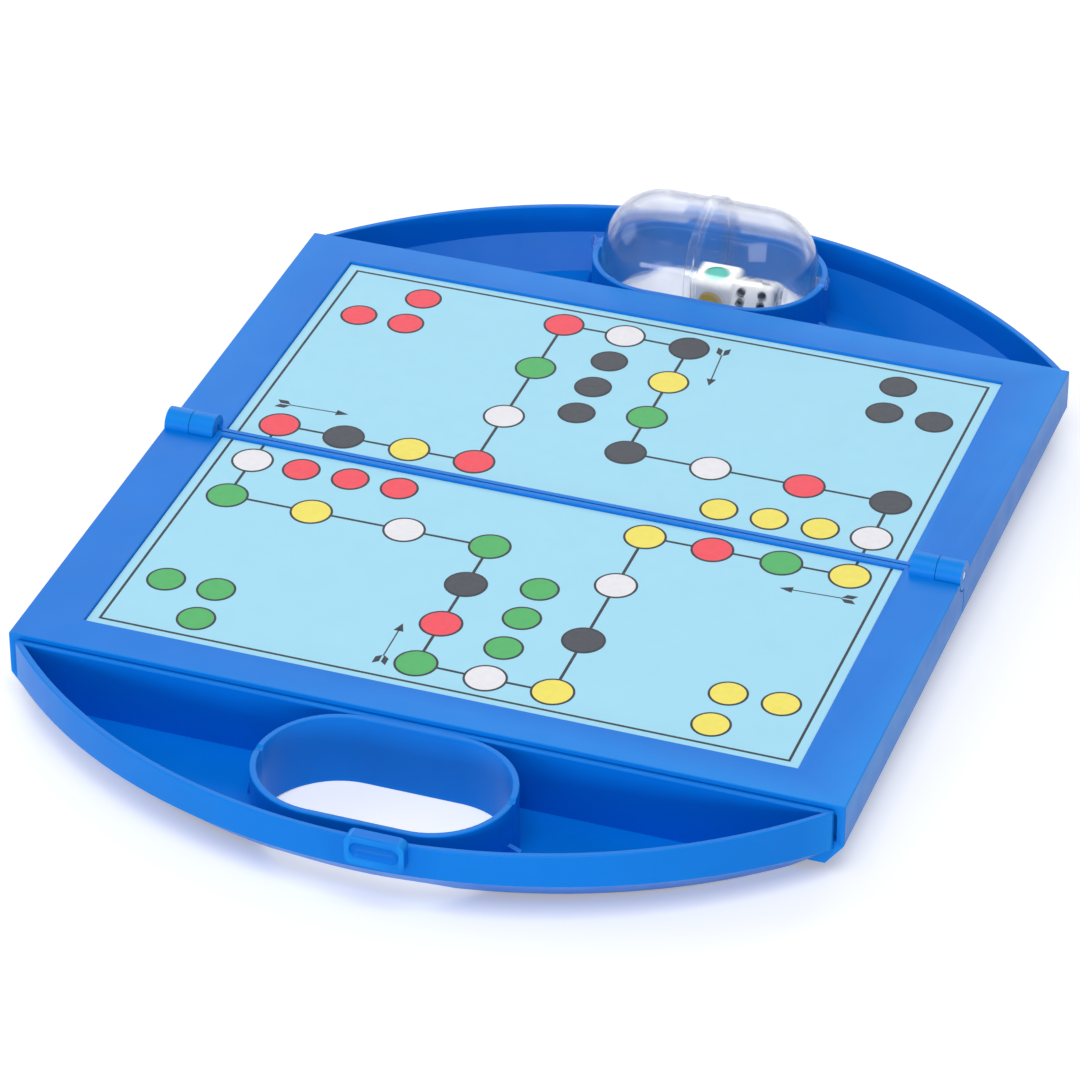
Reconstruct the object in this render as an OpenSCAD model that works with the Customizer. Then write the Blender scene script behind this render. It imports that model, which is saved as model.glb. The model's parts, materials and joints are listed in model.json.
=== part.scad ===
// Folding ludo board box: two equal blue halves on a top hinge, each with a
// printed card and a curved end tray, and a clear dice capsule that spins in
// the ring of the far tray. Z is 0 on the table, X runs along the hinge.

/* [Board] */
// Width of the opened board, along the hinge
board_w = 250; // [200:5:320]
// Length of one half, from the hinge line to its end face
half_l = 119; // [105:1:150]
// Height of the hinge line above the table
hinge_z = 23.6; // [22.6:0.1:26]
// Width of the frame beside the card
side_frame = 17.8; // [14:0.2:24]
// Width of the frame between the card and the tray
end_frame = 13.3; // [10:0.1:20]
// Width of the rim along the fold
fold_rim = 1.7; // [1.2:0.1:3]
// Depth of the card below the frame
card_drop = 0.8; // [0.4:0.1:1.5]
// Thickness of the printed card
card_t = 0.6; // [0.4:0.1:1]

/* [Half shell] */
// Depth of a half, from the frame to its underside
shell_h = 20.6; // [16:0.2:22]
// Wall thickness of the half shell
shell_t = 2.4; // [1.6:0.2:3.2]
// Inward run of the lower bevel along the long sides
bevel_x = 5.6; // [3:0.2:8]
// Height of the lower bevel
bevel_z = 7.4; // [4:0.2:9]
// Thickness of the cover under a half
cover_t = 1.8; // [1.2:0.2:2.6]

/* [Tray] */
// Radius of the curved tray wall
tray_r = 165; // [150:1:220]
// Reach of the tray beyond the end face
tray_reach = 56; // [50:1:62]
// Thickness of the tray walls
tray_t = 2; // [1.6:0.2:2.6]
// Drop of the tray rim below the hinge line
rim_drop = 1.5; // [1:0.1:2.5]
// Height of the upright part of the curved wall at its middle
wall_h = 9.8; // [8:0.2:12]
// Thickness of the tray floor
floor_t = 1.6; // [1.2:0.2:2.4]
// Width of the flat land that the tray stands on
land_w = 9; // [6:0.5:14]
// Slope of the tray floor beyond the land, in degrees
floor_slope = 4; // [2:0.5:5]

/* [Handle ring] */
// Length of the ring outside, along the hinge
ring_l = 76.6; // [74:0.2:80]
// Width of the ring outside
ring_w = 47.6; // [47.4:0.1:48.4]
// Wall thickness of the ring
ring_t = 2; // [1.6:0.1:2.1]

/* [Latch tab] */
// Length of the tab along the rim
tab_l = 17.5; // [12:0.5:24]
// Distance of the tab from the middle of the rim
tab_off = 9.2; // [9:0.2:14]
// Height that the tab stands above the rim
tab_rise = 2.2; // [0.6:0.1:2.4]

/* [Hinge] */
// Radius of the hinge barrels
barrel_r = 4.5; // [4:0.1:5]
// Length of one barrel
barrel_l = 7.7; // [6:0.1:8.4]
// Diameter of the steel hinge pin
pin_d = 3; // [2:0.1:3.4]

/* [Dice capsule] */
// Outer radius of the clear capsule
cap_r = 20.6; // [18:0.1:20.7]
// Half of the capsule length
cap_half = 34.9; // [33:0.1:35.2]
// Radius of the rounded capsule ends
cap_round = 18.6; // [18:0.1:19]
// Wall thickness of the capsule
cap_t = 1.3; // [1:0.1:1.4]
// Width of the raised band at the joint
band_w = 4.2; // [3:0.2:6]
// Height of the band above the capsule
band_h = 0.8; // [0.4:0.1:0.9]
// Drop of the spin axis below the hinge line
axis_drop = 0.9; // [0.6:0.1:1]
// Diameter of the end stubs that the capsule spins on
stub_d = 2.6; // [2:0.1:3]
// Diameter of the stub heads
head_d = 4.2; // [3.6:0.1:5]

/* [Dice] */
// Edge length of a die
die = 14; // [12:0.5:14]
// Distance of the number die from the middle of the capsule
pip_die_x = 16.9; // [15:0.1:17]
// Distance of the colour die from the middle of the capsule
colour_die_x = 2.6; // [0:0.1:2.6]
// Lean of the number die against the capsule wall, in degrees
pip_die_lean = 24; // [0:1:30]

/* [Fits] */
// Gap between parts that are put together
fit = 0.2; // [0.1:0.05:0.3]
// Gap of the parts that turn, on the radius
run = 0.05; // [0.03:0.01:0.1]
// Gap between the halves at the fold
fold_gap = 0.3; // [0.3:0.1:0.6]

/* [Hidden] */
$fn = 96;
eps = 0.01;
frame_z = hinge_z - 0.2;            // top of the frame
base_z = frame_z - shell_h;         // underside of a half
card_x = board_w / 2 - side_frame;  // half width of the card well
card_y0 = fold_gap + fold_rim;
card_y1 = half_l - end_frame;
well_z = frame_z - card_drop - card_t;
deck_t = 2;
tongue_z = base_z + bevel_z + 1.5;  // lower end of the tongues of the tray
rim_z = hinge_z - rim_drop;         // rim of the trays
tray_y0 = half_l + 0.4;             // outer face of the straight wall
tray_x = board_w / 2 - 3.1;         // half width of the tray
apex_y = half_l + tray_reach;
arc_y = apex_y - tray_r;            // centre of the curved wall
cone_y = arc_y - 8;                 // centre of the sloping lower wall
cone_r = apex_y - cone_y;
ring_y = tray_y0 + 1.8 + ring_w / 2;
ring_seat = stub_d / 2 + run;
cap_z = hinge_z - axis_drop;
barrel_x = board_w / 2;             // outer end of a hinge
inner_x = barrel_x - 2 * barrel_l - 0.2;
knuckle_clear = barrel_r + 0.4;
well_r = cap_r - cap_t;             // inner radius of the capsule

blue = [0.03, 0.44, 0.86];
card_blue = [0.66, 0.87, 0.95];

// Block from one corner to the other
module block(a, b) { translate(a) cube([b[0] - a[0], b[1] - a[1], b[2] - a[2]]); }

// Bar along X from x0 to x1
module bar_x(x0, x1, r) { translate([x0, 0, 0]) rotate([0, 90, 0]) cylinder(r = r, h = x1 - x0); }

// Places a part of the far half in the near half
module near_side() { rotate([0, 0, 180]) children(); }

// Rectangle with round corners, centred
module round_rect(w, h, r) {
    square([w - 2 * r, h], center = true);
    square([w, h - 2 * r], center = true);
    for (i = [-1, 1], j = [-1, 1]) translate([i * (w / 2 - r), j * (h / 2 - r)]) circle(r);
}

// Half shell, drawn as the far half

// Outline of a half seen along Y, grown inwards by d
module end_outline(d, z0, z1) {
    w = board_w / 2 - d;
    polygon([[-w, z1], [w, z1], [w, base_z + bevel_z + d / 2],
             [w - bevel_x, base_z + d / 2], [w - bevel_x, z0], [bevel_x - w, z0],
             [bevel_x - w, base_z + d / 2], [-w, base_z + bevel_z + d / 2]]);
}

module end_prism(d, z0, z1, y0, y1) {
    translate([0, y1, 0]) rotate([90, 0, 0]) linear_extrude(y1 - y0) end_outline(d, z0, z1);
}

// Posts that the base cover is pushed on
module posts() {
    for (x = [-88, 0, 88], y = [24, half_l - 24])
        translate([x, y, base_z + cover_t]) difference() {
            cylinder(r = 3.6, h = well_z - deck_t - base_z - cover_t + 1);
            translate([0, 0, -1]) cylinder(r = 1.5 + run, h = 9);
        }
}

module half_body() {
    difference() {
        union() {
            difference() {
                end_prism(0, base_z, frame_z, fold_gap, half_l);
                // hollow below the deck
                end_prism(shell_t, base_z - 1, well_z - deck_t, fold_gap + shell_t, half_l - shell_t);
            }
            posts();
            // solid hinge corners and end corners
            for (s = [-1, 1]) {
                block([s * barrel_x - (s > 0 ? 18 : 0), fold_gap, hinge_z - 9],
                      [s * barrel_x + (s > 0 ? 0 : 18), 8, frame_z]);
                block([s * (board_w / 2 - 5.5) - 3.5, half_l - 7, base_z + bevel_z],
                      [s * (board_w / 2 - 5.5) + 3.5, half_l, frame_z]);
            }
            // stiffening ribs under the deck
            for (x = [-44, 44])
                block([x - 0.8, fold_gap + 1, base_z + cover_t + 1], [x + 0.8, half_l - 1, well_z]);
            // the two barrels of this half, outer on the right, inner on the left
            translate([0, 0, hinge_z]) {
                bar_x(barrel_x - barrel_l, barrel_x, barrel_r);
                bar_x(-inner_x - barrel_l, -inner_x, barrel_r);
            }
            block([barrel_x - barrel_l, fold_gap, hinge_z - 6], [barrel_x, barrel_r, hinge_z]);
            block([-inner_x - barrel_l, fold_gap, hinge_z - 6], [-inner_x, barrel_r, hinge_z]);
        }
        // well for the card
        block([-card_x, card_y0, well_z], [card_x, card_y1, hinge_z + 1]);
        // room for the barrels of the other half
        translate([0, 0, hinge_z]) {
            bar_x(inner_x - 0.2, inner_x + barrel_l + 0.1, knuckle_clear);
            bar_x(-barrel_x - 1, -barrel_x + barrel_l + 0.1, knuckle_clear);
            // bores for the pins
            bar_x(barrel_x - barrel_l - 1, barrel_x + 1, pin_d / 2 + run);
            bar_x(-inner_x - barrel_l - 1, -inner_x + 1, pin_d / 2 + run);
        }
        // slots for the tongues of the tray
        for (s = [-1, 1]) translate([s * (board_w / 2 - 4), 0, 0]) {
            block([-1.7, half_l - 2.2, tongue_z - 0.5], [1.7, half_l + 1, hinge_z - 4.4]);
            translate([0, half_l - 2.2, hinge_z - 4.4]) rotate([-90, 0, 0]) cylinder(r = 1.7, h = 3);
        }
    }
}

module half_cover() {
    w = board_w / 2 - shell_t - bevel_x - 0.4;
    block([-w, fold_gap + shell_t + fit, base_z], [w, half_l - shell_t - fit, base_z + cover_t]);
    for (x = [-88, 0, 88], y = [24, half_l - 24])
        translate([x, y, base_z + eps]) cylinder(r = 1.5, h = cover_t + 6);
}

module half_card() {
    block([-card_x + fit, card_y0 + fit, well_z],
          [card_x - fit, card_y1 - fit, well_z + card_t]);
}

// End tray, drawn at the far half

// Solid bounded by the curved wall, the sloping lower wall and the bottom,
// each moved inwards by t, with the floor raised by f
module tray_solid(t, f) {
    slope_y = tray_y0 + land_w;
    far = apex_y + 5;
    intersection() {
        translate([0, arc_y, -1]) cylinder(r = tray_r - t, h = rim_z + 1, $fn = 240);
        // at 45 degrees the radius grows by the height
        translate([0, cone_y, -20])
            cylinder(r1 = cone_r - (rim_z - wall_h) - 20 - t * 1.4,
                     r2 = cone_r - (rim_z - wall_h) + 60 - t * 1.4, h = 80, $fn = 240);
        rotate([90, 0, 90]) translate([0, 0, -tray_x + t * 1.2])
            linear_extrude(2 * (tray_x - t * 1.2))
            polygon([[tray_y0 + t, f], [slope_y, f],
                     [far, f + (far - slope_y) * tan(floor_slope)],
                     [far, rim_z], [tray_y0 + t, rim_z]]);
    }
}

// Upright stadium shape of the ring, made smaller by d
module ring_solid(d, z0, z1) {
    r = ring_w / 2 - d;
    c = ring_l / 2 - ring_w / 2;
    translate([0, ring_y, z0]) {
        for (s = [-1, 1]) translate([s * c, 0, 0]) cylinder(r = r, h = z1 - z0);
        translate([-c, -r, 0]) cube([2 * c, 2 * r, z1 - z0]);
    }
}

// Finger tab on the rim, with a scoop below its lip
module latch_tab() {
    y = arc_y + sqrt(tray_r * tray_r - tab_off * tab_off);
    top = rim_z + tab_rise;
    mid = rim_z - 2.6;
    translate([-tab_off, 0, 0]) difference() {
        translate([0, y - 1.4, mid]) rotate([-90, 0, 0]) linear_extrude(3.8)
            round_rect(tab_l, 2 * (top - mid), 2.4);
        translate([0, y + 3.2, mid + 0.3]) {
            rotate([0, 90, 0]) cylinder(r = 2.6, h = tab_l - 8, center = true);
            for (s = [-1, 1]) translate([s * (tab_l / 2 - 4), 0, 0]) sphere(r = 2.6);
        }
        // the tab ends flush with the inner side of the wall
        block([-tab_l, y - 2, top - 2 * (top - mid) - 1], [tab_l, y - 1.2, rim_z - eps]);
    }
}

module half_tray() {
    difference() {
        union() {
            difference() {
                tray_solid(0, 0);
                translate([0, 0, 2 * eps]) tray_inside();
            }
            intersection() {
                tray_solid(0, 0);
                ring_solid(0, -1, rim_z);
            }
            gussets();
            latch_tab();
            // tongues in the slots of the half shell
            for (s = [-1, 1])
                block([s * (board_w / 2 - 4.6) - 0.9, half_l - 2.2 + fit, tongue_z],
                      [s * (board_w / 2 - 4.6) + 0.9, tray_y0 + 0.5, hinge_z - 5]);
        }
        // handle hole through the floor
        ring_solid(ring_t, -1, hinge_z + 1);
        // seats for the capsule stubs
        translate([0, ring_y, cap_z]) {
            bar_x(-ring_l / 2 - 1, ring_l / 2 + 1, ring_seat);
            rotate([90, 0, 90]) translate([0, 0, -ring_l / 2 - 1]) linear_extrude(ring_l + 2)
                polygon([[-ring_seat, 0], [ring_seat, 0], [2.2, 2], [-2.2, 2]]);
        }
    }
}

// Inside of the tray, up through its open top
module tray_inside() {
    intersection() {
        tray_solid(tray_t, floor_t);
        block([-tray_x, 0, 0], [tray_x, apex_y, rim_z + 1]);
    }
    intersection() {
        translate([0, arc_y, rim_z - 2]) cylinder(r = tray_r - tray_t, h = 3, $fn = 240);
        block([-tray_x + tray_t * 1.2, tray_y0 + tray_t, rim_z - 2],
              [tray_x - tray_t * 1.2, apex_y, rim_z + 1]);
    }
}

// Small ribs at the foot of the ring
module gussets() {
    for (s = [-1, 1])
        translate([s * (ring_l / 2 - 1.4), ring_y - 4 * s - 0.8, floor_t])
            rotate([90, 0, 0]) mirror([s < 0 ? 1 : 0, 0, 0]) translate([0, 0, -1.6])
                linear_extrude(1.6) polygon([[0, 0], [6, 0], [4.6, 7], [0, 9]]);
}

// Hinge pins

module hinge_pin() {
    translate([0, 0, hinge_z]) bar_x(inner_x + 0.4, barrel_x - 0.1, pin_d / 2);
}

// Dice capsule

// Outline of the right half of a capsule, turned about the X axis
module pill_half(r, half, rnd, x0) {
    rotate([0, 90, 0]) rotate_extrude() intersection() {
        union() {
            square([r, half - rnd]);
            square([r - rnd, half]);
            translate([r - rnd, half - rnd]) circle(rnd);
        }
        translate([0, x0]) square([r + 1, half - x0 + 1]);
    }
}

module pill_shell(x0) {
    difference() {
        union() {
            pill_half(cap_r, cap_half, cap_round, x0);
            // stub and head that hold the capsule in the ring
            bar_x(cap_half - 0.6, ring_l / 2 + 1, stub_d / 2);
            bar_x(ring_l / 2 + 0.3, ring_l / 2 + 1.1, head_d / 2);
        }
        pill_half(well_r, cap_half - cap_t, cap_round - cap_t, -1);
        translate([-eps, 0, 0]) bar_x(-1, 1 + x0, well_r);
    }
}

module capsule_left() {
    color([0.86, 0.92, 0.95, 0.35]) translate([0, ring_y, cap_z]) {
        mirror([1, 0, 0]) pill_shell(0);
        difference() {
            bar_x(-band_w / 2, band_w / 2, cap_r + band_h);
            bar_x(-band_w / 2 - 1, eps, cap_r - 0.3);
            bar_x(-eps, band_w / 2 + 1, cap_r + run);
        }
    }
}

module capsule_right() {
    color([0.86, 0.92, 0.95, 0.35]) translate([0, ring_y, cap_z]) pill_shell(run);
}

// Dice

// Cube with rounded corners
module die_blank() {
    intersection() {
        cube(die, center = true);
        sphere(r = die * 0.715);
    }
}

// Spots of one face, drawn on the top face
module spots(n) {
    d = die * 0.245;
    places = [if (n % 2 == 1) [0, 0], if (n > 1) each [[-d, d], [d, -d]],
              if (n > 3) each [[d, d], [-d, -d]], if (n == 6) each [[-d, 0], [d, 0]]];
    for (p = places) translate([p[0], p[1], die / 2 + 0.9]) sphere(r = 1.75, $fn = 32);
}

module pip_die() {
    turns = [[0, 0, 0], [90, 0, 0], [0, 90, 0], [0, -90, 0], [-90, 0, 0], [180, 0, 0]];
    faces = [3, 6, 5, 2, 1, 4];
    color([0.95, 0.95, 0.93]) translate([pip_die_x, ring_y, cap_z]) rotate([-pip_die_lean, 0, 0])
        translate([0, 0, die / 2 - 17.3]) difference() {
            die_blank();
            for (i = [0:5]) rotate(turns[i]) spots(faces[i]);
        }
}

module colour_die() {
    turns = [[0, 0, 0], [90, 0, 0], [0, 90, 0], [0, -90, 0], [-90, 0, 0], [180, 0, 0]];
    color([0.95, 0.95, 0.93]) translate([colour_die_x, ring_y, cap_z + die / 2 - 17.7])
        difference() {
            die_blank();
            for (a = turns) rotate(a) translate([0, 0, die / 2 - 0.3]) cylinder(r = 4, h = 1);
        }
}

// Named parts

module near_body() { color(blue) near_side() half_body(); }
module far_body() { color(blue) half_body(); }
module near_base_cover() { color(blue) near_side() half_cover(); }
module far_base_cover() { color(blue) half_cover(); }
module near_tray() { color(blue) near_side() half_tray(); }
module far_tray() { color(blue) half_tray(); }
module near_card() { color(card_blue) near_side() half_card(); }
module far_card() { color(card_blue) half_card(); }
module left_hinge_pin() { color("silver") near_side() hinge_pin(); }
module right_hinge_pin() { color("silver") hinge_pin(); }

near_body();
far_body();
near_base_cover();
far_base_cover();
near_tray();
far_tray();
near_card();
far_card();
left_hinge_pin();
right_hinge_pin();
capsule_left();
capsule_right();
pip_die();
colour_die();
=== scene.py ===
"""Folding ludo board box.

Two blue moulded halves on a top hinge, each with a printed card and a curved end
tray with a handle ring, and a clear dice capsule that spins in the far ring.
Sizes are in metres, X runs along the hinge and Z is 0 on the table.
"""

import json
import math

import bmesh
import bpy
from bpy.props import (FloatProperty, FloatVectorProperty, IntProperty,
                       PointerProperty)
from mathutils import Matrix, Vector

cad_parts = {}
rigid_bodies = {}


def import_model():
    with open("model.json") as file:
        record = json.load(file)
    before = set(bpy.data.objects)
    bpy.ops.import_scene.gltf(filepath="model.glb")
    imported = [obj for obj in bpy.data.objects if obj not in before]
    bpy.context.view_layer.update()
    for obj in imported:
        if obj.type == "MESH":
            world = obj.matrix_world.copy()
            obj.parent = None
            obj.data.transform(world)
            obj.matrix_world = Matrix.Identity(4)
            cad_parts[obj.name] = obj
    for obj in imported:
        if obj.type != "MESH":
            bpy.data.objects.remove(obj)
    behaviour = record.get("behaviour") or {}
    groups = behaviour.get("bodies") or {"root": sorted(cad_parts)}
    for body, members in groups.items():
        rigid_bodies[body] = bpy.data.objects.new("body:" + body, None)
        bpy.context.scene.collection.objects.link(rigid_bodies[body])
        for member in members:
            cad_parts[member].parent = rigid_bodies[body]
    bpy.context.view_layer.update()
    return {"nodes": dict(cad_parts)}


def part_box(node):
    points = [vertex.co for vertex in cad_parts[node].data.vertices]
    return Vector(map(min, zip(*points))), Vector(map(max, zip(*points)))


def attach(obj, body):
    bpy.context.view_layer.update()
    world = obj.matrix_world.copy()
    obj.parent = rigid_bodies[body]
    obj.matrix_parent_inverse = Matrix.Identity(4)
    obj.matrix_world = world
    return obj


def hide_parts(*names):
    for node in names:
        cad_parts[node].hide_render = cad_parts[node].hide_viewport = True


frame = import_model()

bl_info = {
    "name": "Folding Ludo Board Box",
    "version": (1, 0, 0),
    "blender": (4, 5, 0),
    "location": "3D View > Sidebar > Ludo Box",
    "description": "Builds a folding ludo board box with trays and a dice capsule",
    "category": "Add Mesh",
}

MM = 0.001


def screen(red, green, blue):
    """Colour as a screen shows it, 0 to 255, as the linear values of a shader."""
    def linear(value):
        part = value / 255
        return part / 12.92 if part <= 0.04045 else ((part + 0.055) / 1.055) ** 2.4
    return tuple(linear(value) for value in (red, green, blue))


def colour_setting(name, description, default):
    return FloatVectorProperty(name=name, description=description, size=3, min=0, max=1,
                               default=default, subtype="COLOR")


def length_setting(name, description, default, low=0.0, high=1.0):
    return FloatProperty(name=name, description=description, default=default * MM,
                         min=low * MM, max=high * MM, unit="LENGTH", precision=5)


# Sizes and colours that a user may change

class LudoShellSettings(bpy.types.PropertyGroup):
    body_colour: colour_setting(
        "Body Colour", "Colour of the moulded shells and trays", screen(0, 118, 218))
    # painted highlight: the sharp thin edges of the shells and trays get this lighter blue, for
    # the shine that light puts on them
    rim_highlight_colour: colour_setting(
        "Rim Colour", "Colour of the thin highlighted edges", screen(24, 146, 238))
    edge_round: length_setting(
        "Edge Rounding", "Width of the rounded edges of shells and trays", 0.45, 0.1, 1)
    edge_steps: IntProperty(
        name="Edge Steps", description="Faces across one rounded edge", default=3, min=1, max=6)
    pin_colour: colour_setting(
        "Pin Colour", "Colour of the steel hinge pins", screen(205, 208, 212))


class LudoCardSettings(bpy.types.PropertyGroup):
    card_colour: colour_setting("Card Colour", "Colour of the cards", screen(160, 218, 241))
    line_colour: colour_setting("Line Colour", "Colour of lines and arrows", screen(34, 40, 52))
    red: colour_setting("Red Spots", "Colour of the red spots", screen(240, 74, 90))
    green: colour_setting("Green Spots", "Colour of the green spots", screen(74, 176, 98))
    yellow: colour_setting("Yellow Spots", "Colour of the yellow spots", screen(240, 225, 96))
    black: colour_setting("Black Spots", "Colour of the black spots", screen(60, 65, 74))
    white: colour_setting("White Spots", "Colour of the white spots", screen(231, 230, 236))
    track_radius: length_setting("Track Spot Radius", "Radius of a track spot", 5.75, 3, 7)
    home_radius: length_setting("Home Spot Radius", "Radius of a home or goal spot", 5.15, 3, 6)
    outline: length_setting("Spot Outline", "Width of the dark line round a spot", 0.7, 0.1, 1)
    border: length_setting("Border Width", "Width of the border line", 0.8, 0.3, 2)
    line: length_setting("Line Width", "Width of the lines between the spots", 0.9, 0.2, 1.2)


class LudoCapsuleSettings(bpy.types.PropertyGroup):
    tint: colour_setting("Tint", "Colour of the clear plastic", screen(247, 248, 250))
    radius: length_setting("Radius", "Outer radius of the capsule", 20.6, 18, 20.7)
    half_length: length_setting("Half Length", "Half of the capsule length", 34.9, 33, 35.2)
    end_round: length_setting("End Rounding", "Radius of the rounded ends", 18.6, 18, 19)
    wall: length_setting("Wall", "Wall thickness of the capsule", 1.3, 1, 1.4)
    band_width: length_setting("Band Width", "Width of the raised band", 4.2, 3, 6)
    band_radius: length_setting("Band Radius", "Outer radius of the raised band", 21.4, 20.8, 21.5)


class LudoDiceSettings(bpy.types.PropertyGroup):
    die_colour: colour_setting("Die Colour", "Colour of the dice", screen(240, 240, 236))
    pip_colour: colour_setting("Pip Colour", "Colour of the pips", screen(24, 24, 28))
    die_size: length_setting("Die Size", "Edge length of a die", 14, 10, 14)
    die_round: length_setting("Die Rounding", "Radius of the rounded die edges", 1.7, 0.5, 2.5)
    lean: FloatProperty(
        name="Lean", description="Lean of the number die against the capsule wall",
        default=math.radians(24), min=0, max=math.radians(30), subtype="ANGLE")
    pip_radius: length_setting("Pip Radius", "Radius of a pip on the face", 1.5, 1, 2)
    spot_radius: length_setting("Spot Radius", "Radius of a coloured face spot", 4, 2, 5)


class LudoStageSettings(bpy.types.PropertyGroup):
    focal_length: FloatProperty(
        name="Focal Length", description="Focal length of the camera, in millimetres",
        default=177.45, min=50, max=300, subtype="DISTANCE_CAMERA")
    camera_place: FloatVectorProperty(
        name="Camera Place", description="Place of the camera", size=3,
        default=(0.4362, -1.2446, 0.8953), subtype="TRANSLATION", unit="LENGTH")
    camera_target: FloatVectorProperty(
        name="Camera Target", description="Point that the camera looks at", size=3,
        default=(0.0027, -0.0241, 0.0238), subtype="TRANSLATION", unit="LENGTH")
    floor_colour: colour_setting("Floor Colour", "Colour of the floor", screen(236, 236, 236))
    lamp_level: FloatProperty(
        name="Lamp Level", description="Factor on the strength of all lamps",
        default=1.0, min=0.1, max=4, subtype="FACTOR")


# Steps of hand modelling

def select_only(*pieces):
    """Leaves edit mode and selects these pieces alone; the first one is active."""
    if bpy.context.mode != "OBJECT":
        bpy.ops.object.mode_set(mode="OBJECT")
    bpy.ops.object.select_all(action="DESELECT")
    for piece in pieces:
        piece.select_set(True)
    if pieces:
        bpy.context.view_layer.objects.active = pieces[0]


def edit(piece):
    select_only(piece)
    bpy.ops.object.mode_set(mode="EDIT")


def leave_edit():
    bpy.ops.object.mode_set(mode="OBJECT")


def select_where(piece, kind, test):
    """Selects the vertices, edges or faces that pass the test, in edit mode."""
    bpy.ops.mesh.select_mode(type=kind)
    bpy.ops.mesh.select_all(action="DESELECT")
    mesh = bmesh.from_edit_mesh(piece.data)
    parts = {"VERT": mesh.verts, "EDGE": mesh.edges, "FACE": mesh.faces}[kind]
    found = 0
    for part in parts:
        if test(part):
            part.select_set(True)
            found += 1
    if not found:
        raise RuntimeError(f"nothing to shape on {piece.name}")
    mesh.select_flush_mode()
    bmesh.update_edit_mesh(piece.data)


def settle(piece):
    """Puts the piece's place, turn and scale into its mesh."""
    select_only(piece)
    bpy.ops.object.transform_apply(location=True, rotation=True, scale=True)


def apply_modifiers(piece):
    select_only(piece)
    for modifier in list(piece.modifiers):
        bpy.ops.object.modifier_apply(modifier=modifier.name)


def named(name):
    piece = bpy.context.active_object
    piece.name = piece.data.name = name
    return piece


def duplicate(piece, name):
    """Copy of a piece with its own mesh."""
    select_only(piece)
    bpy.ops.object.duplicate(linked=False)
    return named(name)


def join(name, pieces):
    select_only(*pieces)
    if len(pieces) > 1:
        bpy.ops.object.join()
    return named(name)


def smooth(piece, degrees=32):
    select_only(piece)
    bpy.ops.object.shade_smooth()
    edit(piece)
    bpy.ops.mesh.select_mode(type="EDGE")
    bpy.ops.mesh.select_all(action="DESELECT")
    bpy.ops.mesh.edges_select_sharp(sharpness=math.radians(degrees))
    bpy.ops.mesh.mark_sharp()
    leave_edit()
    even = piece.modifiers.new("even shading", "WEIGHTED_NORMAL")
    even.keep_sharp = True
    apply_modifiers(piece)


def finish_piece(piece, body, slot, *nodes):
    """Puts a finished piece on its body and hides the nodes it stands for; the slot is not used.
    """
    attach(piece, body)
    if nodes:
        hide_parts(*nodes)


def dress(piece, *materials):
    piece.data.materials.clear()
    for material in materials:
        piece.data.materials.append(material)


# Finishes

def finish(name, colour, mottle=0.05, mottle_size=18.0, rough=(0.3, 0.4), rough_size=6.0,
           grain=0.05, grain_size=0.8, edge=0.0, edge_wear_and_highlight_colour=None, metallic=0.0, level=0.5,
           stretch=(1, 1, 1)):
    """Material with a soft mottle, an uneven gloss, a fine grain and edges painted lighter, partly
    as wear and partly as a painted highlight.

    The sizes are millimetres across one patch of the pattern.
    """
    found = bpy.data.materials.get(name)
    if found:
        return found
    material = bpy.data.materials.new(name)
    material.use_nodes = True
    tree = material.node_tree
    new, link = tree.nodes.new, tree.links.new
    shader = tree.nodes["Principled BSDF"]
    shader.inputs["Metallic"].default_value = metallic
    shader.inputs["Specular IOR Level"].default_value = level
    place = new("ShaderNodeTexCoord")
    scale = new("ShaderNodeMapping")
    scale.inputs["Scale"].default_value = stretch
    link(place.outputs["Object"], scale.inputs["Vector"])

    def noise(size, detail):
        node = new("ShaderNodeTexNoise")
        node.inputs["Scale"].default_value = 1 / (size * MM)
        node.inputs["Detail"].default_value = detail
        link(scale.outputs["Vector"], node.inputs["Vector"])
        return node.outputs["Fac"]

    ramp = new("ShaderNodeValToRGB")
    ramp.color_ramp.elements[0].position = 0.3
    ramp.color_ramp.elements[1].position = 0.7
    ramp.color_ramp.elements[0].color = (*[c * (1 - mottle) for c in colour], 1)
    ramp.color_ramp.elements[1].color = (*[min(1, c * (1 + mottle)) for c in colour], 1)
    link(noise(mottle_size, 4), ramp.inputs["Fac"])
    tone = ramp.outputs["Color"]
    if edge:
        # sharp edges, found by pointiness, are mixed towards a lighter edge colour: partly wear
        # and partly a painted highlight
        shape = new("ShaderNodeNewGeometry")
        wear_and_highlight = new("ShaderNodeMapRange")
        wear_and_highlight.inputs["From Min"].default_value = 0.52
        wear_and_highlight.inputs["From Max"].default_value = 0.62
        wear_and_highlight.inputs["To Max"].default_value = edge
        mix = new("ShaderNodeMix")
        mix.data_type = "RGBA"
        mix.inputs["B"].default_value = (*(edge_wear_and_highlight_colour or [min(1, c * 1.2) for c in colour]), 1)
        link(shape.outputs["Pointiness"], wear_and_highlight.inputs["Value"])
        link(wear_and_highlight.outputs["Result"], mix.inputs["Factor"])
        link(tone, mix.inputs["A"])
        tone = mix.outputs["Result"]
    link(tone, shader.inputs["Base Color"])
    gloss = new("ShaderNodeMapRange")
    gloss.inputs["From Min"].default_value = 0.3
    gloss.inputs["From Max"].default_value = 0.7
    gloss.inputs["To Min"].default_value, gloss.inputs["To Max"].default_value = rough
    link(noise(rough_size, 3), gloss.inputs["Value"])
    link(gloss.outputs["Result"], shader.inputs["Roughness"])
    bump = new("ShaderNodeBump")
    bump.inputs["Strength"].default_value = grain
    bump.inputs["Distance"].default_value = 0.1 * MM
    link(noise(grain_size, 2), bump.inputs["Height"])
    link(bump.outputs["Normal"], shader.inputs["Normal"])
    return material


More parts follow.
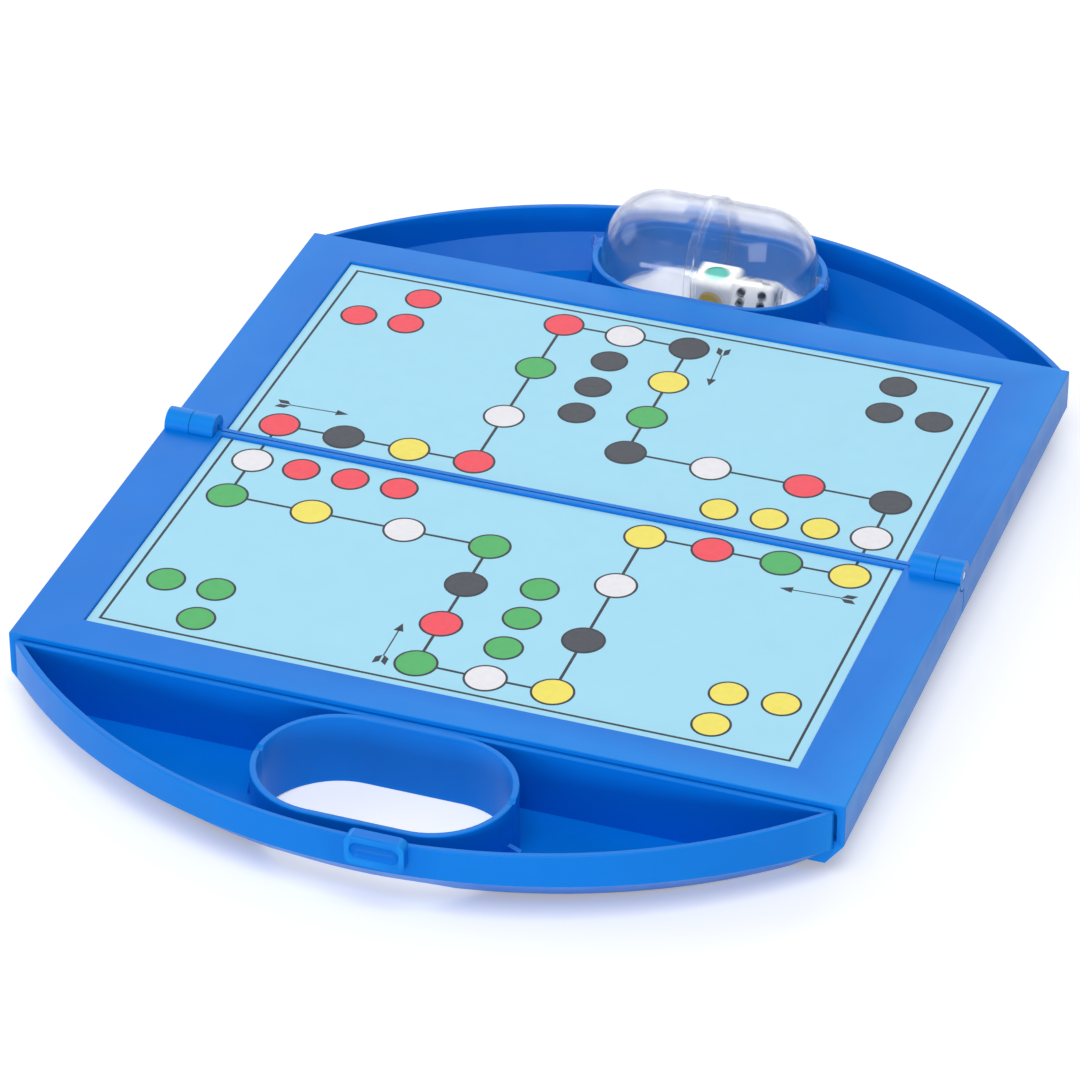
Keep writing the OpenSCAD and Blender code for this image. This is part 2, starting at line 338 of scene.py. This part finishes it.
def blue_plastic():
    # the lighter rim colour on the sharp edges is a painted highlight
    return finish("blue moulded plastic", settings("shell").body_colour, mottle=0.035,
                  mottle_size=30, rough=(0.3, 0.38), rough_size=9, grain=0.12,
                  grain_size=0.7, edge=0.6, edge_wear_and_highlight_colour=settings("shell").rim_highlight_colour,
                  level=0.12)


def card_stock():
    return finish("printed card", settings("card").card_colour, mottle=0.012, mottle_size=12,
                  rough=(0.42, 0.52), rough_size=3, grain=0.1, grain_size=0.35, level=0.25)


def ink(tone):
    return finish(f"{tone} ink", getattr(settings("card"), tone), mottle=0.03, mottle_size=2.2,
                  rough=(0.4, 0.5), rough_size=1.5, grain=0.08, grain_size=0.35, level=0.25)


def line_ink():
    return finish("line ink", settings("card").line_colour, mottle=0.06, mottle_size=2.2,
                  rough=(0.4, 0.5), rough_size=1.5, grain=0.08, grain_size=0.35, level=0.25)


def steel():
    # sharp edges are painted a lighter steel
    return finish("steel", settings("shell").pin_colour, mottle=0.08, mottle_size=2,
                  rough=(0.22, 0.36), rough_size=1, grain=0.1, grain_size=0.4, edge=0.3,
                  metallic=1.0, stretch=(0.15, 1, 1))


def die_plastic():
    return finish("die plastic", settings("dice").die_colour, mottle=0.015, mottle_size=5,
                  rough=(0.22, 0.3), rough_size=3, grain=0.06, grain_size=0.7)


def die_paint(name, colour):
    return finish(name, colour, mottle=0.05, mottle_size=1.6, rough=(0.3, 0.4),
                  rough_size=1, grain=0.1, grain_size=0.4)


def clear_plastic():
    material = finish("clear plastic", settings("capsule").tint, mottle=0.006, mottle_size=14,
                      rough=(0.012, 0.03), rough_size=10, grain=0.02, grain_size=5)
    shader = material.node_tree.nodes["Principled BSDF"]
    # a thin wall bends little light, so the shine comes from the coat
    shader.inputs["Transmission Weight"].default_value = 1
    shader.inputs["IOR"].default_value = 1.12
    shader.inputs["Coat Weight"].default_value = 0.7
    shader.inputs["Coat Roughness"].default_value = 0.03
    shader.inputs["Alpha"].default_value = 0.62
    return material


def settings(part):
    return getattr(bpy.context.scene, f"ludo_{part}")


# Shells and trays

def moulded_copy(node, name, body, rounded):
    """Merged copy of a solid, with the edges that pass the test rounded."""
    sizes = settings("shell")
    source = frame["nodes"][node]
    select_only(source)
    bpy.ops.object.duplicate(linked=False)
    piece = named(name)
    bpy.ops.object.parent_clear(type="CLEAR_KEEP_TRANSFORM")
    bpy.ops.mesh.customdata_custom_splitnormals_clear()
    edit(piece)
    bpy.ops.mesh.select_all(action="SELECT")
    bpy.ops.mesh.remove_doubles(threshold=0.002 * MM)
    bpy.ops.mesh.dissolve_limited(angle_limit=math.radians(0.4))
    select_where(piece, "EDGE", rounded)
    bpy.ops.transform.edge_bevelweight(value=1)
    leave_edit()
    bevel = piece.modifiers.new("edge rounding", "BEVEL")
    bevel.limit_method = "WEIGHT"
    bevel.width = sizes.edge_round
    bevel.segments = sizes.edge_steps
    bevel.use_clamp_overlap = False
    bevel.miter_outer = "MITER_ARC"
    apply_modifiers(piece)
    edit(piece)
    bpy.ops.mesh.select_all(action="SELECT")
    bpy.ops.mesh.dissolve_degenerate(threshold=0.001 * MM)
    leave_edit()
    dress(piece, blue_plastic())
    smooth(piece, 34)
    finish_piece(piece, body, "blue_plastic", node)
    return piece


TRAY_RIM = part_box("near_card")[0].z + 0.1 * MM
HINGE_REACH = 8.5 * MM          # from the fold to the far side of a barrel
HINGE_INNER_X = 106 * MM
STUB_SLOT_Y = 116 * MM
STUB_SLOT_X = (118 * MM, 123.5 * MM)
LONG_EDGE = 12 * MM


def sharp(edge, degrees=35):
    """True on an outer edge of two faces that meet at an angle."""
    return (len(edge.link_faces) == 2 and edge.is_convex
            and edge.calc_face_angle(0) > math.radians(degrees))


def body_edge(edge):
    """Long outer edges of a half shell, away from the small fits."""
    middle = (edge.verts[0].co + edge.verts[1].co) / 2
    in_fold = abs(middle.y) < 1 * MM
    in_hinge = abs(middle.y) < HINGE_REACH and abs(middle.x) > HINGE_INNER_X
    in_slot = (abs(middle.y) > STUB_SLOT_Y
               and STUB_SLOT_X[0] < abs(middle.x) < STUB_SLOT_X[1])
    small_fit = in_fold or in_hinge or in_slot
    return sharp(edge) and edge.calc_length() > LONG_EDGE and not small_fit


def tray_edge(edge):
    """Rims of the tray wall and of the handle ring."""
    middle = (edge.verts[0].co + edge.verts[1].co) / 2
    level = abs(edge.verts[0].co.z - edge.verts[1].co.z) < 0.01 * MM
    on_rim = level and middle.z > TRAY_RIM - 0.1 * MM
    return sharp(edge) and on_rim and edge.calc_length() > 0.6 * MM


class LUDO_OT_shells(bpy.types.Operator):
    """Makes the two half shells and the covers under them"""
    bl_idname = "ludo.shells"
    bl_label = "Half Shells"
    bl_options = {"REGISTER", "UNDO"}

    def execute(self, context):
        for side in ("near", "far"):
            moulded_copy(f"{side}_body", f"{side}_shell", f"{side}_half", body_edge)
            cover = frame["nodes"][f"{side}_base_cover"]
            cover.material_slots[0].material = blue_plastic()
        return {"FINISHED"}


class LUDO_OT_trays(bpy.types.Operator):
    """Makes the two curved end trays with their handle rings and latch tabs"""
    bl_idname = "ludo.trays"
    bl_label = "End Trays"
    bl_options = {"REGISTER", "UNDO"}

    def execute(self, context):
        for side in ("near", "far"):
            moulded_copy(f"{side}_tray", f"{side}_end_tray", f"{side}_half", tray_edge)
        return {"FINISHED"}


class LUDO_OT_hinge_pins(bpy.types.Operator):
    """Makes the two steel hinge pins"""
    bl_idname = "ludo.hinge_pins"
    bl_label = "Hinge Pins"
    bl_options = {"REGISTER", "UNDO"}

    def execute(self, context):
        for side in ("left", "right"):
            node = f"{side}_hinge_pin"
            low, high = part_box(node)
            select_only()
            bpy.ops.mesh.primitive_cylinder_add(
                vertices=48, radius=(high.z - low.z) / 2, depth=high.x - low.x,
                location=(low + high) / 2, rotation=(0, math.pi / 2, 0))
            pin = named(f"{side}_steel_pin")
            settle(pin)
            edit(pin)
            select_where(pin, "EDGE", lambda e: abs(e.verts[0].co.x - e.verts[1].co.x) < 1e-6)
            bpy.ops.mesh.bevel(offset=0.45 * MM, segments=4, affect="EDGES")
            leave_edit()
            dress(pin, steel())
            smooth(pin, 40)
            finish_piece(pin, "near_half", "pin_steel", node)
        return {"FINISHED"}


# Cards and print

CARD_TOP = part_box("far_card")[1].z
INK_FOOT = CARD_TOP - 0.04 * MM
LINE_TOP = CARD_TOP + 0.04 * MM
OUTLINE_TOP = CARD_TOP + 0.06 * MM
SPOT_TOP = CARD_TOP + 0.09 * MM
TURNED = ("red", "green", "yellow", "black")

# Place of each spot of the first arm in mm, and its colour in each quarter turn
TRACK = (
    ((-30.8, 37.4), ("white",) * 4),
    ((-31.0, 66.7), ("green", "yellow", "black", "red")),
    ((-31.1, 93.5), ("red", "green", "yellow", "black")),
    ((-10.95, 93.6), ("white",) * 4),
    ((10.1, 93.3), ("black", "red", "green", "yellow")),
    ((10.25, 72.5), ("yellow", "black", "red", "green")),
    ((10.4, 51.4), ("green", "yellow", "black", "red")),
    ((10.6, 30.65), ("black", "red", "green", "yellow")),
)
HOME = (((-78, 93.4), 0), ((-93.6, 77.5), 0), ((-78, 77.7), 0),
        ((-10.8, 77.9), 3), ((-10.7, 62.2), 3), ((-10.6, 46.6), 3))
# Tail and head of each arrow, and the parts of an arrow, all in mm
ARROWS = (((-98.8, 21.4), (-75.3, 22.5)), ((20.5, 97), (22.5, 74.4)),
          ((98.7, -21.4), (75.4, -22.6)), ((-20.1, -97), (-20.6, -75.6)))
SHAFT_START = 4.2
TIP_BACK, TIP_RADIUS, TIP_SHAPE = 3, 2, (0.85, 1.3, 1)
VANE_FRONT, VANE_LENGTH, VANE_WIDTH = 4.4, 3.2, 1.7
VANE_ASIDE, VANE_SLANT = 1.15, 1.3


def quarter(point, turns):
    """The point after that many quarter turns to the left."""
    x, y = point
    for _ in range(turns):
        x, y = -y, x
    return x, y


def side_of(y):
    return "far" if y > 0 else "near"


def crown(piece, inward, rise):
    """Insets the top face and lifts it a little, as a layer of ink lies."""
    edit(piece)
    select_where(piece, "FACE", lambda f: f.normal.z > 0.9)
    bpy.ops.mesh.inset(thickness=inward)
    bpy.ops.transform.translate(value=(0, 0, rise))
    leave_edit()


def ink_disc(name, radius, top):
    """One spot of ink at the middle of the board."""
    select_only()
    bpy.ops.mesh.primitive_cylinder_add(
        vertices=44, radius=radius, depth=top - INK_FOOT, location=(0, 0, (top + INK_FOOT) / 2))
    disc = named(name)
    settle(disc)
    crown(disc, 0.25 * MM, 0.006 * MM)
    return disc


def ink_line(name, start, end, width):
    """Strip of ink between two points in mm."""
    a, b = Vector(start) * MM, Vector(end) * MM
    select_only()
    bpy.ops.mesh.primitive_cube_add(
        size=1, location=(*(a + b) / 2, (LINE_TOP + INK_FOOT) / 2),
        rotation=(0, 0, math.atan2(b.y - a.y, b.x - a.x)))
    strip = named(name)
    strip.scale = ((b - a).length, width, LINE_TOP - INK_FOOT)
    settle(strip)
    crown(strip, width * 0.2, 0.004 * MM)
    return strip


class LUDO_OT_cards(bpy.types.Operator):
    """Finishes the two cards and prints their border and track lines"""
    bl_idname = "ludo.cards"
    bl_label = "Cards and Lines"
    bl_options = {"REGISTER", "UNDO"}

    def execute(self, context):
        sizes = settings("card")
        edge_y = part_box("far_card")[0].y / MM + 0.1
        border_x, border_y = 103.7, 102.4
        lines = {"near": [], "far": []}

        def line(a, b, width):
            strip = ink_line("line", a, b, width)
            lines[side_of(a[1] + b[1])].append(strip)

        for side, s in (("near", -1), ("far", 1)):
            card = frame["nodes"][f"{side}_card"]
            card.material_slots[0].material = card_stock()
            over = sizes.border / MM / 2
            line((-border_x - over, s * border_y), (border_x + over, s * border_y), sizes.border)
            for x in (-border_x, border_x):
                line((x, s * edge_y), (x, s * (border_y - over)), sizes.border)

        track = [quarter(p, turn) for turn in (0, 3, 2, 1) for p, _ in TRACK]
        gap = (sizes.track_radius + sizes.outline) / MM
        for a, b in zip(track, track[1:] + track[:1]):
            a, b = Vector(a), Vector(b)
            along = (b - a).normalized()
            a, b = a + along * (gap - 0.3), b - along * (gap - 0.3)
            if a.y * b.y > 0:
                line(a[:], b[:], sizes.line)
                continue
            for end in (a, b):
                fold = math.copysign(edge_y, end.y)
                cross = end.x + (fold - end.y) * along.x / along.y
                line((cross, fold), end[:], sizes.line)
        for side, strips in lines.items():
            piece = join(f"{side}_lines", strips)
            dress(piece, line_ink())
            finish_piece(piece, f"{side}_half", "print_ink")
        return {"FINISHED"}


class LUDO_OT_spots(bpy.types.Operator):
    """Prints the spots of the track, the homes and the goals"""
    bl_idname = "ludo.spots"
    bl_label = "Printed Spots"
    bl_options = {"REGISTER", "UNDO"}

    def execute(self, context):
        sizes = settings("card")
        places = []
        for turn in range(4):
            places += [(quarter(p, turn), tones[turn], "track") for p, tones in TRACK]
            places += [(quarter(p, turn), TURNED[(turn + shift) % 4], "home")
                       for p, shift in HOME]
        groups = {}
        for kind, radius in (("track", sizes.track_radius), ("home", sizes.home_radius)):
            spot = ink_disc("spot", radius, SPOT_TOP)
            ring = ink_disc("ring", radius + sizes.outline, OUTLINE_TOP)
            for (x, y), tone, its_kind in places:
                if its_kind != kind:
                    continue
                for model, group in ((spot, f"{side_of(y)}_{tone}_spots"),
                                     (ring, f"{side_of(y)}_spot_outlines")):
                    copy = duplicate(model, "copy")
                    copy.location = (x * MM, y * MM, 0)
                    settle(copy)
                    groups.setdefault(group, []).append(copy)
            select_only(spot, ring)
            bpy.ops.object.delete()
        for name, copies in groups.items():
            piece = join(name, copies)
            side, tone = name.split("_")[:2]
            dress(piece, line_ink() if tone == "spot" else ink(tone))
            finish_piece(piece, f"{side}_half", "print_ink")
        return {"FINISHED"}


class LUDO_OT_arrows(bpy.types.Operator):
    """Prints the four arrows at the starts"""
    bl_idname = "ludo.arrows"
    bl_label = "Printed Arrows"
    bl_options = {"REGISTER", "UNDO"}

    def execute(self, context):
        sizes = settings("card")
        for number, (tail, head) in enumerate(ARROWS, 1):
            tail, head = Vector(tail), Vector(head)
            along = (head - tail).normalized()
            across = Vector((-along.y, along.x))
            tip_place = head - along * TIP_BACK
            parts = [ink_line("shaft", (tail + along * SHAFT_START)[:], tip_place[:],
                              sizes.line * 0.45)]
            select_only()
            bpy.ops.mesh.primitive_cylinder_add(
                vertices=3, radius=TIP_RADIUS * MM, depth=LINE_TOP - INK_FOOT,
                location=(*tip_place * MM, (LINE_TOP + INK_FOOT) / 2))
            tip = named("tip")
            # one of its three corners points along Y before the turn
            tip.rotation_euler.z = math.atan2(along.y, along.x) - math.pi / 2
            tip.scale = TIP_SHAPE
            settle(tip)
            crown(tip, 0.15 * MM, 0.004 * MM)
            parts.append(tip)
            for s in (-1, 1):
                # two slanted vanes behind the end of the shaft
                root = tail + along * VANE_FRONT + across * s * VANE_ASIDE
                vane = ink_line("vane", (root - along * VANE_LENGTH)[:], root[:],
                                VANE_WIDTH * MM)
                edit(vane)
                select_where(vane, "VERT", lambda v: (v.co / MM - root.to_3d()).xy.dot(
                    across) * s > 0)
                bpy.ops.transform.translate(value=(*(-along * VANE_SLANT * MM), 0))
                leave_edit()
                parts.append(vane)
            side = side_of(tail.y)
            piece = join(f"{side}_arrow_{number}", parts)
            dress(piece, line_ink())
            finish_piece(piece, f"{side}_half", "print_ink")
        return {"FINISHED"}


# Dice capsule

def capsule_centre():
    low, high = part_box("capsule_left")
    _, other_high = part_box("capsule_right")
    return Vector(((low.x + other_high.x) / 2, (low.y + high.y) / 2, (low.z + high.z) / 2))


def turn_about(piece, angle, axis, centre):
    """Turns the whole mesh of a piece about a line through the centre."""
    edit(piece)
    bpy.ops.mesh.select_all(action="SELECT")
    bpy.ops.transform.rotate(value=angle, orient_axis=axis, orient_type="GLOBAL",
                             center_override=centre)
    leave_edit()


def capsule_half(name, sizes, centre):
    """Right half of the shell, with its stub and head."""
    end_x = centre.x + sizes.half_length
    start_x = centre.x + 0.05 * MM
    select_only()
    bpy.ops.mesh.primitive_cylinder_add(
        vertices=96, radius=sizes.radius, depth=end_x - start_x,
        location=((start_x + end_x) / 2, centre.y, centre.z), rotation=(0, math.pi / 2, 0))
    half = named(name)
    settle(half)
    edit(half)
    select_where(half, "EDGE", lambda e: min(v.co.x for v in e.verts) > end_x - 0.01 * MM)
    bpy.ops.mesh.bevel(offset=sizes.end_round, segments=18, profile=0.5, affect="EDGES",
                       clamp_overlap=False)
    select_where(half, "FACE", lambda f: all(v.co.x < start_x + 0.01 * MM for v in f.verts))
    bpy.ops.mesh.delete(type="FACE")
    leave_edit()
    wall = half.modifiers.new("wall", "SOLIDIFY")
    wall.thickness = sizes.wall
    wall.offset = -1
    wall.use_even_offset = True
    apply_modifiers(half)
    edit(half)

    def outer_end(face):
        return all(v.co.x > end_x - 0.01 * MM for v in face.verts)

    select_where(half, "FACE", outer_end)
    flat = sizes.radius - sizes.end_round
    stub, head, head_width = 1.3 * MM, 2.1 * MM, 0.8 * MM
    tip_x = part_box("capsule_right")[1].x
    neck = (tip_x - head_width, centre.y, centre.z)
    bpy.ops.mesh.inset(thickness=flat - stub)
    bpy.ops.mesh.extrude_region_move(TRANSFORM_OT_translate={"value": (neck[0] - end_x, 0, 0)})
    bpy.ops.mesh.extrude_region_move()
    bpy.ops.transform.resize(value=(1, head / stub, head / stub), center_override=neck)
    bpy.ops.mesh.extrude_region_move(TRANSFORM_OT_translate={"value": (tip_x - neck[0], 0, 0)})
    select_where(half, "EDGE", lambda e: min(v.co.x for v in e.verts) > tip_x - 0.01 * MM)
    bpy.ops.mesh.bevel(offset=0.3 * MM, segments=3, affect="EDGES")
    leave_edit()
    return half


class LUDO_OT_capsule(bpy.types.Operator):
    """Makes the two clear capsule halves and the raised band between them"""
    bl_idname = "ludo.capsule"
    bl_label = "Dice Capsule"
    bl_options = {"REGISTER", "UNDO"}

    def execute(self, context):
        sizes = settings("capsule")
        centre = capsule_centre()
        right = capsule_half("right_clear_shell", sizes, centre)
        left = duplicate(right, "left_clear_shell")
        turn_about(left, math.pi, "Z", centre)
        select_only()
        bpy.ops.mesh.primitive_cylinder_add(
            vertices=96, radius=sizes.band_radius, depth=sizes.band_width,
            end_fill_type="NOTHING", location=centre, rotation=(0, math.pi / 2, 0))
        band = named("clear_band")
        settle(band)
        wall = band.modifiers.new("wall", "SOLIDIFY")
        wall.thickness = sizes.band_radius - sizes.radius - 0.05 * MM
        wall.offset = -1
        corner = band.modifiers.new("corner", "BEVEL")
        corner.width = 0.25 * MM
        corner.segments = 3
        corner.angle_limit = math.radians(40)
        apply_modifiers(band)
        for piece in (right, left, band):
            dress(piece, clear_plastic())
            smooth(piece, 28)
        finish_piece(right, "capsule", "clear_plastic", "capsule_right")
        finish_piece(left, "capsule", "clear_plastic", "capsule_left")
        finish_piece(band, "capsule", "clear_plastic", "capsule_left")
        return {"FINISHED"}


# Dice

# Turn of the top face onto each face, with the number of pips there
FACES = (((0, 0, 1), 3), ((0, -1, 0), 6), ((1, 0, 0), 5),
         ((-1, 0, 0), 2), ((0, 1, 0), 1), ((0, 0, -1), 4))


def face_axes(normal):
    """Two directions along the face with that normal."""
    normal = Vector(normal)
    up = Vector((0, 0, 1)) if abs(normal.z) < 0.5 else Vector((0, 1, 0))
    along = up.cross(normal)
    return along, up, normal


def die_blank(name, centre, sizes):
    """Cube with rounded edges and corners."""
    select_only()
    bpy.ops.mesh.primitive_cube_add(size=sizes.die_size, location=centre)
    die = named(name)
    settle(die)
    edit(die)
    bpy.ops.mesh.select_all(action="SELECT")
    bpy.ops.mesh.bevel(offset=sizes.die_round, segments=6, profile=0.5, affect="EDGES")
    leave_edit()
    dress(die, die_plastic())
    return die


def cut(piece, cutters):
    """Cuts the joined cutters out of a piece and keeps their paint on the cut."""
    tool = join("cutter", cutters)
    take = piece.modifiers.new("recess", "BOOLEAN")
    take.operation = "DIFFERENCE"
    take.object = tool
    take.solver = "EXACT"
    take.material_mode = "TRANSFER"
    apply_modifiers(piece)
    select_only(tool)
    bpy.ops.object.delete()


class LUDO_OT_number_die(bpy.types.Operator):
    """Makes the die with one to six pips"""
    bl_idname = "ludo.number_die"
    bl_label = "Number Die"
    bl_options = {"REGISTER", "UNDO"}

    def execute(self, context):
        sizes = settings("dice")
        low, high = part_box("pip_die")
        centre = (low + high) / 2
        die = die_blank("number_die_cube", centre, sizes)
        paint = die_paint("pip paint", sizes.pip_colour)
        step = sizes.die_size * 0.245
        depth = 0.85 * MM
        # ball that leaves a round dimple of that radius and depth
        ball = (sizes.pip_radius ** 2 + depth ** 2) / (2 * depth)
        cutters = []
        for normal, pips in FACES:
            along, up, out = face_axes(normal)
            spots = [(0, 0)] if pips % 2 else []
            spots += [(-1, 1), (1, -1)] if pips > 1 else []
            spots += [(1, 1), (-1, -1)] if pips > 3 else []
            spots += [(-1, 0), (1, 0)] if pips == 6 else []
            for a, b in spots:
                place = centre + (along * a + up * b) * step
                place += out * (sizes.die_size / 2 + ball - depth)
                select_only()
                bpy.ops.mesh.primitive_uv_sphere_add(
                    segments=28, ring_count=18, radius=ball, location=place)
                cutter = named("ball")
                settle(cutter)
                dress(cutter, paint)
                cutters.append(cutter)
        cut(die, cutters)
        smooth(die, 30)
        turn_about(die, sizes.lean, "X", centre)
        finish_piece(die, "number_die", "die_plastic", "pip_die")
        return {"FINISHED"}


class LUDO_OT_colour_die(bpy.types.Operator):
    """Makes the die with a coloured spot on each face"""
    bl_idname = "ludo.colour_die"
    bl_label = "Colour Die"
    bl_options = {"REGISTER", "UNDO"}

    def execute(self, context):
        sizes = settings("dice")
        low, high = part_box("colour_die")
        centre = (low + high) / 2
        die = die_blank("colour_die_cube", centre, sizes)
        tones = (("teal", (0, 176, 160)), ("mustard", (214, 176, 40)), ("red", (214, 44, 52)),
                 ("black", (30, 30, 34)), ("blue", (30, 92, 200)), ("white", (250, 250, 250)))
        cutters = []
        for (normal, _), (tone, value) in zip(FACES, tones):
            out = Vector(normal)
            select_only()
            bpy.ops.mesh.primitive_cylinder_add(
                vertices=64, radius=sizes.spot_radius, depth=2 * MM,
                location=centre + out * (sizes.die_size / 2 + 0.7 * MM),
                rotation=out.to_track_quat("Z", "Y").to_euler())
            cutter = named("disc")
            settle(cutter)
            dress(cutter, die_paint(f"{tone} die paint", screen(*value)))
            cutters.append(cutter)
        cut(die, cutters)
        smooth(die, 30)
        finish_piece(die, "spot_die", "die_plastic", "colour_die")
        return {"FINISHED"}


# Stage

FLOOR_GLOW = 0.3
WORLD_LEVEL = 0.42
# Name, place, target, size and power of each lamp, in metres and watts
LAMPS = (
    ("front softbox", (0.25, -0.75, 1.9), (0, 0, 0), (1.3, 1.3), 20),
    ("rear softbox", (-0.5, 2.1, 1.4), (0, 0, 0), (3.0, 1.5), 24),
    ("low strip", (0.1, -1.6, 0.2), (0, 0, 0.01), (1.6, 0.25), 9),
    ("left softbox", (-1.6, -0.3, 1.0), (0, 0, 0), (0.9, 0.9), 6),
)


def white_to_the_eye(tree, seen, unseen):
    """Mixes two shaders: the first for what is seen, the second for the light."""
    new, link = tree.nodes.new, tree.links.new
    path = new("ShaderNodeLightPath")
    either = new("ShaderNodeMath")
    either.operation = "MAXIMUM"
    any_of = new("ShaderNodeMath")
    any_of.operation = "MAXIMUM"
    mix = new("ShaderNodeMixShader")
    link(path.outputs["Is Camera Ray"], either.inputs[0])
    link(path.outputs["Is Transmission Ray"], either.inputs[1])
    link(either.outputs["Value"], any_of.inputs[0])
    link(path.outputs["Is Glossy Ray"], any_of.inputs[1])
    link(any_of.outputs["Value"], mix.inputs["Fac"])
    link(unseen, mix.inputs[1])
    link(seen, mix.inputs[2])
    return mix.outputs["Shader"]


def floor_material(colour):
    """Matt pale floor that shows white where it is lit and keeps the shadow."""
    material = bpy.data.materials.new("pale floor")
    material.use_nodes = True
    tree = material.node_tree
    tree.nodes.clear()
    new, link = tree.nodes.new, tree.links.new
    matt = new("ShaderNodeBsdfDiffuse")
    matt.inputs["Color"].default_value = (*colour, 1)
    glow = new("ShaderNodeEmission")
    glow.inputs["Strength"].default_value = FLOOR_GLOW
    both = new("ShaderNodeAddShader")
    link(matt.outputs["BSDF"], both.inputs[0])
    link(glow.outputs["Emission"], both.inputs[1])
    shader = white_to_the_eye(tree, both.outputs["Shader"], matt.outputs["BSDF"])
    link(shader, new("ShaderNodeOutputMaterial").inputs["Surface"])
    return material


def lamp(name, place, target, size, power):
    """Soft square lamp that points at the target."""
    select_only()
    bpy.ops.object.light_add(type="AREA", location=place)
    light = bpy.context.active_object
    light.name = light.data.name = name
    light.data.shape = "RECTANGLE"
    light.data.size, light.data.size_y = size
    light.data.energy = power
    towards = Vector(target) - Vector(place)
    light.rotation_euler = towards.to_track_quat("-Z", "Y").to_euler()


class LUDO_OT_stage(bpy.types.Operator):
    """Sets up the floor, the soft lamps and the camera"""
    bl_idname = "ludo.stage"
    bl_label = "Stage"
    bl_options = {"REGISTER", "UNDO"}

    def execute(self, context):
        sizes = settings("stage")
        scene = context.scene
        scene.view_settings.view_transform = "Standard"
        select_only()
        bpy.ops.mesh.primitive_plane_add(size=14, location=(0, 0, 0))
        floor = named("pale_floor")
        dress(floor, floor_material(sizes.floor_colour))

        world = bpy.data.worlds.new("pale studio")
        world.use_nodes = True
        scene.world = world
        tree = world.node_tree
        tree.nodes.clear()
        seen = tree.nodes.new("ShaderNodeBackground")
        unseen = tree.nodes.new("ShaderNodeBackground")
        unseen.inputs["Strength"].default_value = WORLD_LEVEL
        shader = white_to_the_eye(tree, seen.outputs["Background"],
                                  unseen.outputs["Background"])
        output = tree.nodes.new("ShaderNodeOutputWorld")
        tree.links.new(shader, output.inputs["Surface"])

        for name, place, target, size, power in LAMPS:
            lamp(name, place, target, size, power * sizes.lamp_level)

        select_only()
        bpy.ops.object.camera_add(location=sizes.camera_place)
        camera = bpy.context.active_object
        camera.name = "photograph view"
        towards = Vector(sizes.camera_target) - Vector(sizes.camera_place)
        camera.rotation_euler = towards.to_track_quat("-Z", "Y").to_euler()
        camera.data.lens = sizes.focal_length
        camera.data.sensor_width = 36
        camera.data.clip_start, camera.data.clip_end = 0.05, 40
        scene.camera = camera
        return {"FINISHED"}


class LUDO_PT_sidebar(bpy.types.Panel):
    """Steps and sizes of the ludo board box"""
    bl_idname = "LUDO_PT_sidebar"
    bl_label = "Ludo Box"
    bl_space_type = "VIEW_3D"
    bl_region_type = "UI"
    bl_category = "Ludo Box"

    def draw(self, context):
        for part, group, steps in PARTS:
            box = self.layout.box()
            for step in steps:
                box.operator(step.bl_idname)
            values = settings(part)
            for key in group.__annotations__:
                box.prop(values, key)


PARTS = (
    ("stage", LudoStageSettings, (LUDO_OT_stage,)),
    ("shell", LudoShellSettings, (LUDO_OT_shells, LUDO_OT_trays, LUDO_OT_hinge_pins)),
    ("card", LudoCardSettings, (LUDO_OT_cards, LUDO_OT_spots, LUDO_OT_arrows)),
    ("capsule", LudoCapsuleSettings, (LUDO_OT_capsule,)),
    ("dice", LudoDiceSettings, (LUDO_OT_number_die, LUDO_OT_colour_die)),
)


def register():
    for part, group, steps in PARTS:
        bpy.utils.register_class(group)
        setattr(bpy.types.Scene, f"ludo_{part}", PointerProperty(type=group))
        for step in steps:
            bpy.utils.register_class(step)
    bpy.utils.register_class(LUDO_PT_sidebar)


def unregister():
    bpy.utils.unregister_class(LUDO_PT_sidebar)
    for part, group, steps in reversed(PARTS):
        for step in reversed(steps):
            bpy.utils.unregister_class(step)
        delattr(bpy.types.Scene, f"ludo_{part}")
        bpy.utils.unregister_class(group)


def main():
    register()
    bpy.ops.ludo.stage()
    bpy.ops.ludo.shells()
    bpy.ops.ludo.trays()
    bpy.ops.ludo.hinge_pins()
    bpy.ops.ludo.cards()
    bpy.ops.ludo.spots()
    bpy.ops.ludo.arrows()
    bpy.ops.ludo.capsule()
    bpy.ops.ludo.number_die()
    bpy.ops.ludo.colour_die()
    select_only()


if __name__ == "__main__":
    main()
